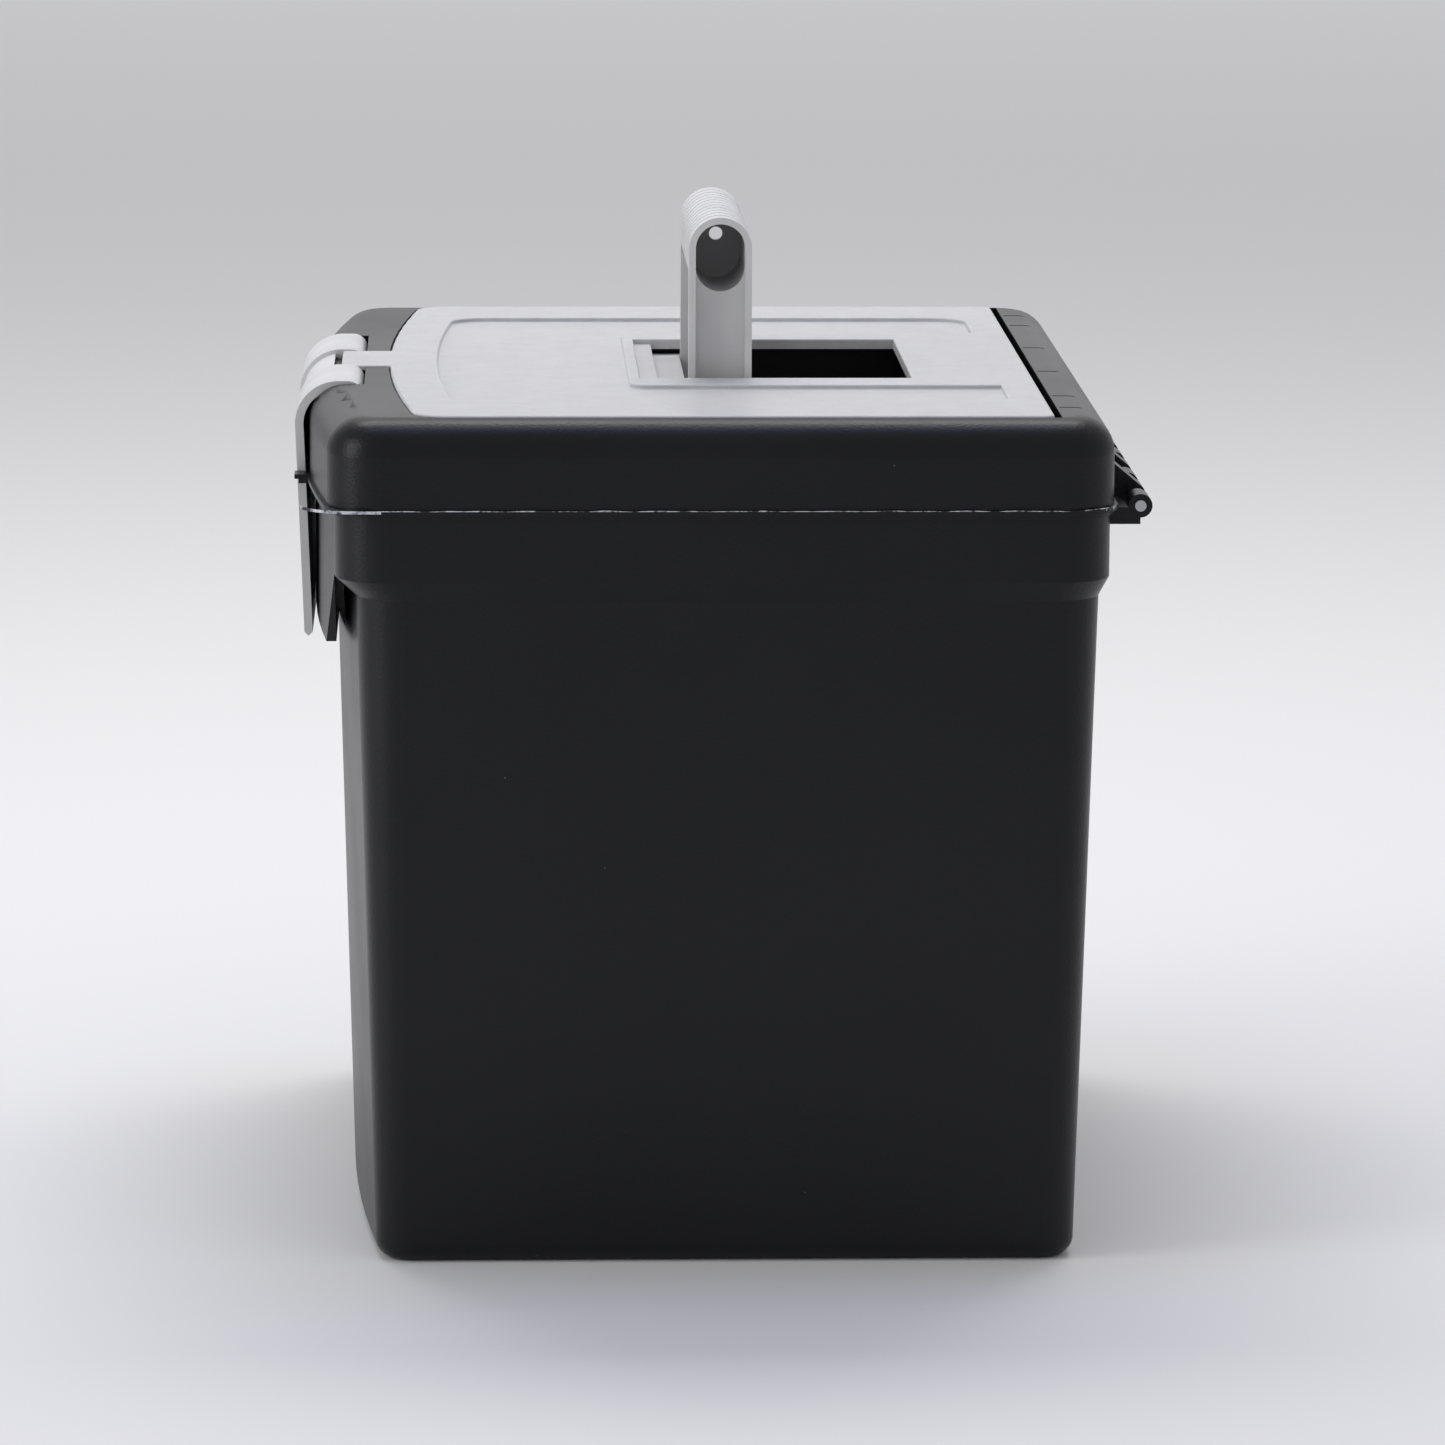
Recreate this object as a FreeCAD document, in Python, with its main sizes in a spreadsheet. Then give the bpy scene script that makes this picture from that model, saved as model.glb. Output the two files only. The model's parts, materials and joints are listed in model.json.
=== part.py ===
# Portable hanging-folder box: a black bin and lid, a frosted organiser cover, a folding handle and a
# front latch. Millimetres. X runs from the latch (-) to the hinge (+), Y from side to side, Z up.
# The origin is on the floor under the middle of the lid.
import FreeCAD, Part
import math
import os
import Sketcher
from types import SimpleNamespace
from FreeCAD import Placement, Rotation, Vector

SIZES = {
    # plan and heights of the whole box
    "front_reach": 147.5,       # origin to the lid's front face, on the centre line
    "back_reach": 138.0,        # origin to the lid's back face
    "half_width": 172.5,        # centre line to the lid's side faces
    "parting_height": 270.0,    # floor to the joint between bin and lid
    "lid_rise": 33.0,           # that joint to the top of the lid
    "bow_radius": 1250.0,       # every front face bulges on this radius
    # lid shell
    "lid_corner": 20.0,
    "lid_edge_round": 13.0,
    "lid_wall": 2.2,
    "lid_lip_out": 1.4,
    "lid_lip_rise": 1.6,
    # bin shell
    "bin_wall": 2.2,
    "bin_corner": 18.0,
    "bin_foot_round": 7.0,
    "draft_angle": 1.5,         # degrees that each wall leans in towards the floor
    "collar_rise": 24.0,
    "flare_rise": 7.0,
    "collar_corner": 19.5,
    "collar_front_step": 3.0,   # lid face to collar face
    "collar_side_step": 1.5,
    "collar_back_step": 1.2,
    "flare_front": 7.5,         # collar face to the wall below it
    "flare_side": 3.5,
    "bin_lip_out": 0.8,
    "bin_lip_rise": 1.8,
    "apron_drop": 29.0,         # the apron hangs this far below the collar
    "apron_bite": 1.65,         # how far the apron's ends run into the wall
    "apron_top_half": 150.0,
    "apron_low_half": 118.0,
    # organiser cover and the seat that it lies in
    "cover_front_inset": 30.5,
    "cover_back_inset": 21.5,
    "cover_side_inset": 12.0,
    "cover_corner": 12.0,
    "cover_thick": 1.8,
    "cover_proud": 0.5,         # cover top above the lid top
    "cover_gap": 0.6,
    "cover_rest_gap": 0.3,
    "cover_edge_round": 0.9,
    "cover_axis_drop": 3.4,     # cover's underside down to its hinge axis
    "cover_axis_inset": 7.0,    # cover's back edge forward to that axis
    "cover_pin_radius": 1.5,
    "cover_barrel_radius": 2.2,
    "cover_back_room": 2.4,     # cover's back edge to the tray's back wall
    "cover_back_corner": 4.0,
    "barrel_inner": 82.0,
    "barrel_outer": 130.0,
    "post_thick": 2.5,
    "post_radius": 2.8,
    "post_waist": 2.6,          # taken off the post below its eye, where the open cover leans back
    "post_gap": 0.5,
    "swing_room": 9.5,          # the cover's back edge dips this far below its axis
    "panel_sink": 1.6,
    "panel_front_inset": 17.5,
    "panel_back_inset": 13.0,
    "panel_side_inset": 37.0,
    "panel_corner": 13.0,
    "island_corner": 7.0,
    "frame_margin": 20.0,       # well opening to the edge of the raised frame beside it
    "frame_front": 2.4,         # the same ahead of the well
    "step_round": 0.7,
    "skirt_drop": 2.0,
    "dip_length": 6.6,
    "tongue_length": 17.7,
    "tongue_half": 21.4,
    # tray in the lid
    "ledge_width": 4.1,
    "tray_corner": 9.0,
    "tray_depth": 26.0,
    "tray_wall": 2.0,
    "well_side_room": 5.2,
    "well_end_room": 1.5,
    "well_wall": 2.0,
    "rib_thick": 1.6,
    "rib_rise": 15.0,
    "front_rib_place": 60.0,
    "side_rib_place": 22.0,
    # handle
    "pivot_place": 3.1,         # handle pivot behind the origin
    "pivot_drop": 10.5,         # handle pivot below the lid's top
    "handle_reach": 57.4,       # pivot to the centre of the grip's round top
    "grip_deep": 7.2,           # that centre down to the one of its round underside
    "grip_radius": 11.4,
    "grip_wall": 2.5,
    "arm_inner": 45.5,
    "arm_width": 8.0,
    "arm_web": 2.2,
    "arm_rim": 2.4,
    "handle_pin_radius": 3.0,
    "handle_pin_length": 5.5,
    "grip_hole_radius": 2.5,
    "grip_middle_web": 2.5,
    "groove_pitch": 9.0,
    "groove_width": 1.6,
    "groove_depth": 0.4,
    "bearing_gap": 1.0,
    "bearing_thick": 5.5,
    "bearing_half": 7.0,
    "bearing_cap": 3.3,         # pivot to the top of the bearing block
    "handle_fit": 0.05,
    "opening_front_room": 11.1,
    "opening_back_room": 0.6,
    "opening_side_room": 3.5,
    # keeper plate over the handle's pins
    "keeper_thick": 1.8,
    "keeper_width": 10.2,
    "keeper_gap": 0.3,
    "keeper_side_gap": 0.1,
    "keeper_leg": 4.0,
    # latch
    "latch_half": 70.0,
    "latch_pivot_inset": 16.0,  # lid front face back to the latch pivot
    "latch_pivot_drop": 4.5,    # lid top down to the latch pivot
    "latch_thick": 3.0,
    "latch_proud": 0.9,         # latch top above the lid top
    "latch_bend": 15.5,         # outer radius of the bend over the lid's front edge
    "latch_drop": 92.0,         # lid top down to the latch's tip
    "latch_stand": 0.2,         # lid face to the strap's inner face
    "latch_lean": 3.0,          # the tip stands this much further in than the bend
    "latch_tip": 1.5,
    "latch_pin_radius": 1.5,
    "latch_fit": 0.05,
    "latch_room": 0.4,
    "latch_side_room": 1.0,
    "channel_half": 22.0,
    "channel_sink": 1.4,
    "channel_low": 75.0,        # lid top down to the lower end of the latch's channel
    "heel_cut": 6.0,            # the channel's upper end to the latch pivot
    "prong_root": 1.0,
    "mount_depth": 16.0,
    "mount_drop": 12.0,
    "mount_over": 5.0,
    "mount_shell": 3.0,         # block that stays under the relief's round edge
    "mount_foot": 4.5,
    "hook_drop": 47.6,          # lid top down to the hook's upper face
    "hook_rise": 2.4,
    "hook_half": 15.0,
    "hook_bite": 0.9,
    "ridge_out": 1.3,
    "ridge_rise": 3.0,
    "ridge_half": 18.0,
    "ridge_gap": 0.6,
    "ear_out": 6.3,
    "ear_width": 10.0,
    "ear_thick": 1.6,
    # main hinge
    "hinge_back": 10.5,         # lid back face to the hinge axis
    "hinge_drop": 1.0,          # joint height down to the hinge axis
    "hinge_eye": 4.2,
    "hinge_rod_radius": 2.0,
    "hinge_fit": 0.05,
    "knuckle_width": 14.0,
    "knuckle_pitch": 27.0,
    "finger_rise": 14.0,
    "bracket_thick": 6.0,
    "rod_overhang": 0.5,
    "rod_middle_gap": 3.0,
    # hanging rails
    "rail_place": 157.5,        # centre line to the middle of the rail's upstand
    "rail_thick": 2.0,
    "rail_rise": 8.0,
    "rail_half_length": 104.0,
    "rail_gap": 0.3,
    "rail_rib_thick": 3.0,
    "rail_rib_pitch": 62.0,
}

OUTER_KNUCKLE = 5   # bin knuckles stand 1, 3 and 5 pitches from the middle, lid knuckles between them
FINGER_EDGE = 0.7   # a lid finger's gusset meets its eye at this share of the eye's radius, both ways
GRIP_GROOVES = 11
RAIL_RIBS = 4
REAR_GROOVES = (0.2, 0.6, 0.78)  # shallow grooves across the rear strip, as shares of its half width

doc = FreeCAD.newDocument("FileBox")
sheet = doc.addObject("Spreadsheet::Sheet", "Sizes")
for row, (name, number) in enumerate(SIZES.items(), start=1):
    sheet.set("A%d" % row, name)
    sheet.set("B%d" % row, str(number))
    sheet.setAlias("B%d" % row, name)
doc.recompute()


class Dim:
    """A length as a formula on the sheet together with its present value."""

    def __init__(self, text, value):
        self.text = text
        self.value = value

    def __add__(self, other):
        other = as_dim(other)
        return Dim("(%s + %s)" % (self.text, other.text), self.value + other.value)

    def __sub__(self, other):
        other = as_dim(other)
        return Dim("(%s - %s)" % (self.text, other.text), self.value - other.value)

    def __mul__(self, other):
        other = as_dim(other)
        return Dim("(%s * %s)" % (self.text, other.text), self.value * other.value)

    def __truediv__(self, other):
        other = as_dim(other)
        return Dim("(%s / %s)" % (self.text, other.text), self.value / other.value)

    def __neg__(self):
        return Dim("(-1 * %s)" % self.text, -self.value)

    def root(self):
        return Dim("sqrt(%s)" % self.text, math.sqrt(self.value))


def as_dim(number):
    if isinstance(number, Dim):
        return number
    return Dim("(%r)" % float(number), float(number))


size = SimpleNamespace(**{name: Dim("Sizes." + name, number) for name, number in SIZES.items()})

# ---------------------------------------------------------------- places worked out from the sizes
lid_front = -size.front_reach
lid_back = size.back_reach
lid_top = size.parting_height + size.lid_rise
joint = size.parting_height

collar_front = lid_front + size.collar_front_step
collar_back = lid_back - size.collar_back_step
collar_half = size.half_width - size.collar_side_step
collar_low = joint - size.collar_rise
flare_low = collar_low - size.flare_rise
neck_front = collar_front + size.flare_front
neck_back = collar_back - size.flare_side
neck_half = collar_half - size.flare_side

cover_front = lid_front + size.cover_front_inset
cover_back = lid_back - size.cover_back_inset
cover_half = size.half_width - size.cover_side_inset
cover_top = lid_top + size.cover_proud
cover_low = cover_top - size.cover_thick
seat_level = cover_low - size.cover_rest_gap
cover_axis_x = cover_back - size.cover_axis_inset
cover_axis_z = cover_low - size.cover_axis_drop
seat_front = cover_front - size.cover_gap
seat_half = cover_half + size.cover_gap
tray_front = seat_front + size.ledge_width
tray_half = seat_half - size.ledge_width
tray_back = cover_back + size.cover_back_room
tray_floor = lid_top - size.tray_depth
panel_floor = cover_top - size.panel_sink
panel_low = panel_floor - size.cover_thick

pivot_x = size.pivot_place
pivot_z = lid_top - size.pivot_drop
grip_z = pivot_z + size.handle_reach
arm_outer = size.arm_inner + size.arm_width
opening_front = pivot_x - size.grip_radius - size.opening_front_room
opening_back = pivot_x + size.handle_reach + size.grip_radius + size.opening_back_room
opening_half = arm_outer + size.opening_side_room
skirt_low = cover_low - size.skirt_drop
dip_front = opening_front - size.dip_length
dip_floor = skirt_low + size.cover_thick
skirt_front = dip_front - size.cover_thick
skirt_back = opening_back + size.cover_thick
skirt_half = opening_half + size.cover_thick
well_front = skirt_front - size.well_end_room
well_back = skirt_back + size.well_end_room
well_half = skirt_half + size.well_side_room
well_top = panel_low - size.cover_gap
bearing_in = arm_outer + size.bearing_gap
bearing_out = bearing_in + size.bearing_thick
bearing_top = pivot_z + size.bearing_cap

latch_x = lid_front + size.latch_pivot_inset
latch_z = lid_top - size.latch_pivot_drop
latch_top = lid_top + size.latch_proud
bend_z = latch_top - size.latch_bend
latch_back = lid_front - size.latch_stand
latch_face = latch_back - size.latch_thick
bend_x = latch_face + size.latch_bend
prong_radius = latch_top - latch_z
tip_z = lid_top - size.latch_drop

ear_inner = size.latch_half + size.latch_side_room

axis_x = lid_back + size.hinge_back
axis_z = joint - size.hinge_drop


# ---------------------------------------------------------------- sketches
def pin_point(sketch, geometry, point, x, y):
    """Hold one point of a sketch at x and y, which follow the sheet."""
    for kind, place in (("DistanceX", x), ("DistanceY", y)):
        place = as_dim(place)
        index = sketch.addConstraint(Sketcher.Constraint(kind, geometry, point, place.value))
        sketch.setExpression("Constraints[%d]" % index, place.text)


def set_radius(sketch, geometry, radius):
    radius = as_dim(radius)
    index = sketch.addConstraint(Sketcher.Constraint("Radius", geometry, radius.value))
    sketch.setExpression("Constraints[%d]" % index, radius.text)


def draw(sketch, *corners):
    """Draw a closed outline. A corner (x, y) starts a straight side and (x, y, radius, turn) an arc,
    turn being 1 for anticlockwise and -1 for clockwise."""
    first = sketch.GeometryCount
    starts = []
    ends = []
    for corner, following in zip(corners, corners[1:] + corners[:1]):
        start = Vector(as_dim(corner[0]).value, as_dim(corner[1]).value, 0)
        end = Vector(as_dim(following[0]).value, as_dim(following[1]).value, 0)
        if len(corner) == 2:
            sketch.addGeometry(Part.LineSegment(start, end), False)
            starts.append(1)
            ends.append(2)
            continue
        radius = as_dim(corner[2]).value
        turn = corner[3]
        chord = end - start
        rise = math.sqrt(max(radius ** 2 - chord.Length ** 2 / 4, 0))
        side = Vector(-chord.y, chord.x, 0).normalize() * (rise * turn)
        centre = (start + end) / 2 + side
        angles = [math.atan2(p.y - centre.y, p.x - centre.x) for p in (start, end)]
        if turn < 0:
            angles.reverse()
        circle = Part.Circle(centre, Vector(0, 0, 1), radius)
        sketch.addGeometry(Part.ArcOfCircle(circle, angles[0], angles[1]), False)
        starts.append(1 if turn > 0 else 2)
        ends.append(2 if turn > 0 else 1)
    for step, corner in enumerate(corners):
        following = (step + 1) % len(corners)
        sketch.addConstraint(Sketcher.Constraint(
            "Coincident", first + step, ends[step], first + following, starts[following]))
        pin_point(sketch, first + step, starts[step], corner[0], corner[1])
        if len(corner) > 2:
            set_radius(sketch, first + step, corner[2])


def rectangle(sketch, left, right, low, high):
    draw(sketch, (left, low), (right, low), (right, high), (left, high))


def circle(sketch, x, y, radius):
    place = Vector(as_dim(x).value, as_dim(y).value, 0)
    geometry = sketch.addGeometry(Part.Circle(place, Vector(0, 0, 1), as_dim(radius).value), False)
    pin_point(sketch, geometry, 3, x, y)
    set_radius(sketch, geometry, radius)


def outline(sketch, front, back, half, corner, back_corner=None):
    """Plan of the box at one level: straight sides and back, a gently bowed front, round corners."""
    rear = back_corner or corner
    bow = size.bow_radius
    reach = ((bow - corner) * (bow - corner) - (half - corner) * (half - corner)).root()
    middle = front + bow
    corner_x = middle - reach
    touch_x = middle - reach * bow / (bow - corner)
    touch_y = (half - corner) * bow / (bow - corner)
    draw(sketch,
         (corner_x, -half),
         (back - rear, -half, rear, 1),
         (back, -(half - rear)),
         (back, half - rear, rear, 1),
         (back - rear, half),
         (corner_x, half, corner, 1),
         (touch_x, touch_y, bow, 1),
         (touch_x, -touch_y, corner, 1))


def open_slot(sketch, x, z, radius, top):
    """Upright slot with a round bottom about one centre, open above a height."""
    draw(sketch,
         (x + radius, z),
         (x + radius, top),
         (x - radius, top),
         (x - radius, z, radius, 1),
         (x, z - radius, radius, 1))


def bowed_strip(sketch, front, back, half):
    """Plan of a strip with a bowed front face and straight ends."""
    bow = size.bow_radius
    end_x = front + bow - (bow * bow - half * half).root()
    draw(sketch, (end_x, -half), (back, -half), (back, half), (end_x, half, bow, 1))


def stadium(sketch, x, low, high, radius):
    """Upright slot shape with round ends about two centres."""
    draw(sketch,
         (x + radius, low),
         (x + radius, high, radius, 1),
         (x, high + radius, radius, 1),
         (x - radius, high),
         (x - radius, low, radius, 1),
         (x, low - radius, radius, 1))


# ---------------------------------------------------------------- one body per piece
class Piece:
    """A PartDesign body that grows feature by feature. A level is a place along the sketch's normal:
    Z for XY_Plane, Y for XZ_Plane and X for YZ_Plane."""

    def __init__(self, label):
        self.body = doc.addObject("PartDesign::Body", label)
        self.body.Label = label

    def sketch(self, plane, level):
        sketch = self.body.newObject("Sketcher::SketchObject", "Sketch")
        for feature in self.body.Origin.OriginFeatures:
            if feature.Role == plane:
                sketch.AttachmentSupport = [(feature, "")]
        sketch.MapMode = "FlatFace"
        offset = -as_dim(level) if plane == "XZ_Plane" else as_dim(level)
        sketch.AttachmentOffset = Placement(Vector(0, 0, offset.value), Rotation())
        sketch.setExpression("AttachmentOffset.Base.z", offset.text)
        return sketch

    def extrude(self, kind, plane, low, high, shapes):
        """Pad or pocket between two levels. Each shape is a drawing function and what it takes."""
        starts_low = (plane != "XZ_Plane") == (kind == "Pad")
        sketch = self.sketch(plane, low if starts_low else high)
        for shape in shapes:
            shape[0](sketch, *shape[1:])
        feature = self.body.newObject("PartDesign::" + kind, kind)
        feature.Profile = sketch
        length = as_dim(high) - as_dim(low)
        feature.Length = length.value
        feature.setExpression("Length", length.text)
        doc.recompute()
        return feature

    def pad(self, plane, low, high, *shapes):
        return self.extrude("Pad", plane, low, high, shapes)

    def pocket(self, plane, low, high, *shapes):
        return self.extrude("Pocket", plane, low, high, shapes)

    def loft(self, kind, low, low_shape, high, high_shape):
        """A straight-sided loft between two plans."""
        ends = []
        for level, shape in ((low, low_shape), (high, high_shape)):
            sketch = self.sketch("XY_Plane", level)
            shape[0](sketch, *shape[1:])
            ends.append(sketch)
        feature = self.body.newObject("PartDesign::%sLoft" % kind, "Loft")
        feature.Profile = ends[0]
        feature.Sections = [ends[1]]
        feature.Ruled = True
        doc.recompute()
        return feature

    def draft(self, angle, level):
        """Lean every upright face in below one level."""
        base = self.body.Tip
        height = as_dim(level).value
        sides = []
        for number, face in enumerate(base.Shape.Faces):
            box = face.BoundBox
            if box.ZLength > 1e-4:
                sides.append("Face%d" % (number + 1))
            elif abs(box.ZMin - height) < 1e-4:
                neutral = "Face%d" % (number + 1)
        feature = self.body.newObject("PartDesign::Draft", "Draft")
        feature.Base = (base, sides)
        feature.NeutralPlane = (base, [neutral])
        feature.Angle = angle.value
        feature.setExpression("Angle", angle.text)
        feature.Reversed = True
        doc.recompute()
        return feature

    def hollow(self, wall, level):
        """Shell the newest feature to a wall thickness, open at its flat face at one level."""
        base = self.body.Tip
        height = as_dim(level).value
        names = ["Face%d" % (n + 1) for n, face in enumerate(base.Shape.Faces)
                 if abs(face.BoundBox.ZMin - height) < 1e-4 and face.BoundBox.ZLength < 1e-4]
        feature = self.body.newObject("PartDesign::Thickness", "Shell")
        feature.Base = (base, names)
        feature.Value = wall.value
        feature.setExpression("Value", wall.text)
        feature.Mode = "Skin"
        feature.Join = "Intersection"
        feature.Reversed = True
        doc.recompute()
        return feature

    def fillet(self, radius, chosen):
        """Round the edges of the newest feature that chosen() picks."""
        base = self.body.Tip
        names = ["Edge%d" % (n + 1) for n, edge in enumerate(base.Shape.Edges) if chosen(edge)]
        feature = self.body.newObject("PartDesign::Fillet", "Fillet")
        feature.Base = (base, names)
        feature.Radius = as_dim(radius).value
        feature.setExpression("Radius", as_dim(radius).text)
        doc.recompute()
        return feature


def at_level(level, front=None):
    """Chooser for the edges that lie flat at one height, all of them or those ahead of a place."""
    height = as_dim(level).value

    def chosen(edge):
        box = edge.BoundBox
        flat = abs(box.ZMin - height) < 1e-4 and abs(box.ZMax - height) < 1e-4
        return flat and (front is None or box.XMax < as_dim(front).value)
    return chosen


def both_sides(inner, outer):
    """The two mirrored spans of Y between two distances from the centre line."""
    return ((-as_dim(outer), -as_dim(inner)), (as_dim(inner), as_dim(outer)))


def make_bin():
    part = Piece("bin")
    wall = size.bin_wall
    part.pad("XY_Plane", 0, flare_low,
             (outline, neck_front, neck_back, neck_half, size.bin_corner))
    part.draft(size.draft_angle, flare_low)
    part.fillet(size.bin_foot_round, at_level(0))
    part.hollow(wall, flare_low)
    part.loft("Additive",
              flare_low, (outline, neck_front, neck_back, neck_half, size.bin_corner),
              collar_low, (outline, collar_front, collar_back, collar_half, size.collar_corner))
    part.pad("XY_Plane", collar_low, joint,
             (outline, collar_front, collar_back, collar_half, size.collar_corner))
    # the apron that the latch closes over
    apron_low = collar_low - size.apron_drop
    apron_back = neck_front + size.apron_bite
    part.loft("Additive",
              apron_low, (bowed_strip, collar_front, apron_back, size.apron_low_half),
              collar_low, (bowed_strip, collar_front, apron_back, size.apron_top_half))
    # hinge brackets: one long arm with an eye, cut into knuckles
    bracket_top = axis_z - size.rod_overhang
    reach = size.knuckle_pitch * OUTER_KNUCKLE + size.knuckle_width / 2
    part.pad("XZ_Plane", -reach, reach,
             (rectangle, collar_back - wall / 2, axis_x, bracket_top - size.bracket_thick,
              bracket_top))
    part.pad("XZ_Plane", -reach, reach, (circle, axis_x, axis_z, size.hinge_eye))
    part.pocket("XY_Plane", collar_low, joint + size.hinge_eye,
                *knuckle_gaps(OUTER_KNUCKLE, collar_back))
    lip = size.bin_lip_out
    part.pad("XY_Plane", joint - size.bin_lip_rise, joint,
             (outline, collar_front - lip, collar_back + lip, collar_half + lip,
              size.collar_corner + lip))
    part.pocket("XZ_Plane", -reach - wall, reach + wall,
                (circle, axis_x, axis_z, size.hinge_rod_radius + size.hinge_fit))
    # the cavity of the collar and the flare, and the hollow behind the apron
    part.pocket("XY_Plane", collar_low, joint,
                (outline, collar_front + wall, collar_back - wall, collar_half - wall,
                 size.collar_corner - wall))
    part.loft("Subtractive",
              flare_low, (outline, neck_front + wall, neck_back - wall, neck_half - wall,
                          size.bin_corner - wall),
              collar_low, (outline, collar_front + wall, collar_back - wall, collar_half - wall,
                           size.collar_corner - wall))
    part.loft("Subtractive",
              apron_low + wall, (bowed_strip, collar_front + wall, neck_front + wall * 2,
                                 size.apron_low_half - wall),
              collar_low, (bowed_strip, collar_front + wall, neck_front + wall * 2,
                           size.apron_top_half - wall))
    # catch ridge for the latch's hook
    ridge_low = lid_top - size.hook_drop + size.ridge_gap
    part.pad("XY_Plane", ridge_low, ridge_low + size.ridge_rise,
             (rectangle, collar_front - size.ridge_out, collar_front + wall / 2,
              -size.ridge_half, size.ridge_half))
    # ears that a thumb pushes the lid up from
    part.pad("XY_Plane", joint - size.ear_thick, joint,
             *[(rectangle, collar_front - size.ear_out + size.collar_front_step / 2,
                collar_front + size.collar_front_step, low, high)
               for low, high in both_sides(ear_inner, ear_inner + size.ear_width)])
    # ribs that the hanging rails stand on
    ribs = []
    for number in range(RAIL_RIBS):
        place = size.rail_rib_pitch * (number - (RAIL_RIBS - 1) / 2)
        for low, high in both_sides(size.rail_place - size.rail_thick, neck_half - wall / 2):
            ribs.append((rectangle, place - size.rail_rib_thick / 2,
                         place + size.rail_rib_thick / 2, low, high))
    part.pad("XY_Plane", flare_low, collar_low, *ribs)
    return part


def knuckle_gaps(count, face):
    """Plans of the gaps between knuckles, from a back face out past the hinge."""
    gaps = []
    for middle in [size.knuckle_pitch * (1 - count + 2 * n) for n in range(count)]:
        half = size.knuckle_pitch - size.knuckle_width / 2
        gaps.append((rectangle, face, axis_x + size.hinge_eye * 2, middle - half, middle + half))
    return gaps


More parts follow.
